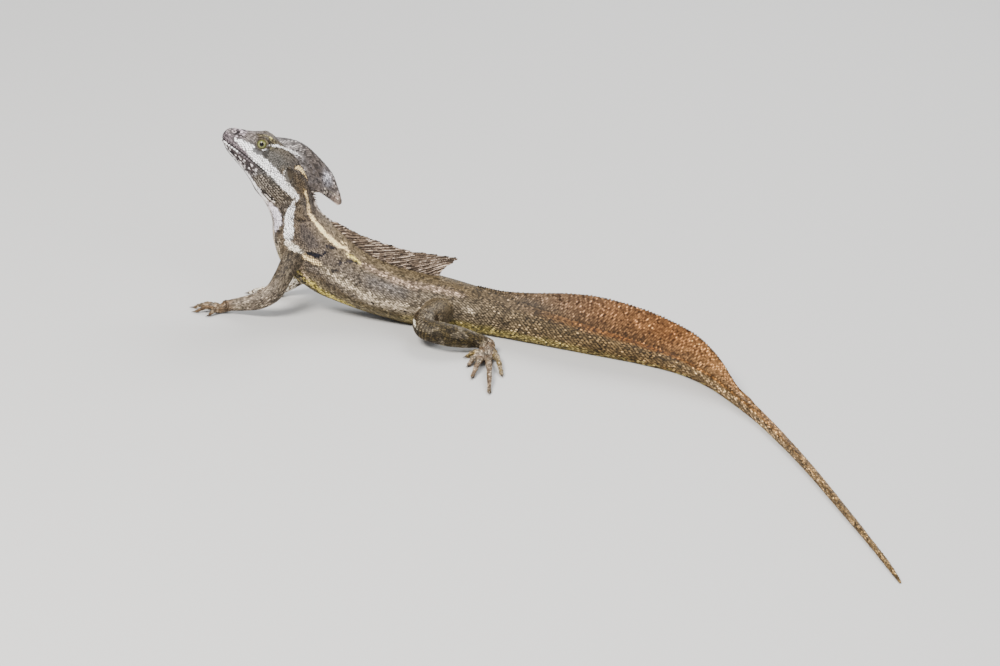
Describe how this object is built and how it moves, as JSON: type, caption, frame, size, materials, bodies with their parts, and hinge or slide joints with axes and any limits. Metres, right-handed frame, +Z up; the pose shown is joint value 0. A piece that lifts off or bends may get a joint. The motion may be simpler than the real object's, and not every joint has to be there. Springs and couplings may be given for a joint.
{
  "type": "lizard",
  "caption": "Still life-size model of a crested lizard at rest, head raised on its forelegs, with sails on head, back and tail and a long whip tail.",
  "frame": {"origin": "centre of the bounding box in plan, at the floor the lizard rests on", "axes": "-X is the way the snout points, -Y the animal's left side and the side its tail curves to, +Z up"},
  "size_m": [0.4412, 0.3752, 0.1131],
  "materials": {
    "skin": "small matt keeled scales",
    "crest": "smooth scaled sail, slightly glossy",
    "sail": "thin scaled membrane over bony rays",
    "tail_sail": "thin scaled membrane over bony rays",
    "whip": "matt keeled scales in rings",
    "eye": "wet gloss"
  },
  "bodies": {
    "root": {"head": "skin", "head_crest": "crest", "eye_left": "eye", "eye_right": "eye", "neck": "skin", "torso": "skin", "body_sail": "sail", "tail_1": "skin", "tail_2": "whip", "tail_3": "whip", "tail_4": "whip", "tail_5": "whip", "tail_6": "whip", "tail_sail_front": "tail_sail", "tail_sail_middle": "tail_sail", "tail_sail_rear": "tail_sail", "upper_arm_left": "skin", "forearm_left": "skin", "hand_left": "skin", "thigh_left": "skin", "shin_left": "skin", "foot_left": "skin", "upper_arm_right": "skin", "forearm_right": "skin", "hand_right": "skin", "thigh_right": "skin", "shin_right": "skin", "foot_right": "skin"}
  },
  "joints": []
}
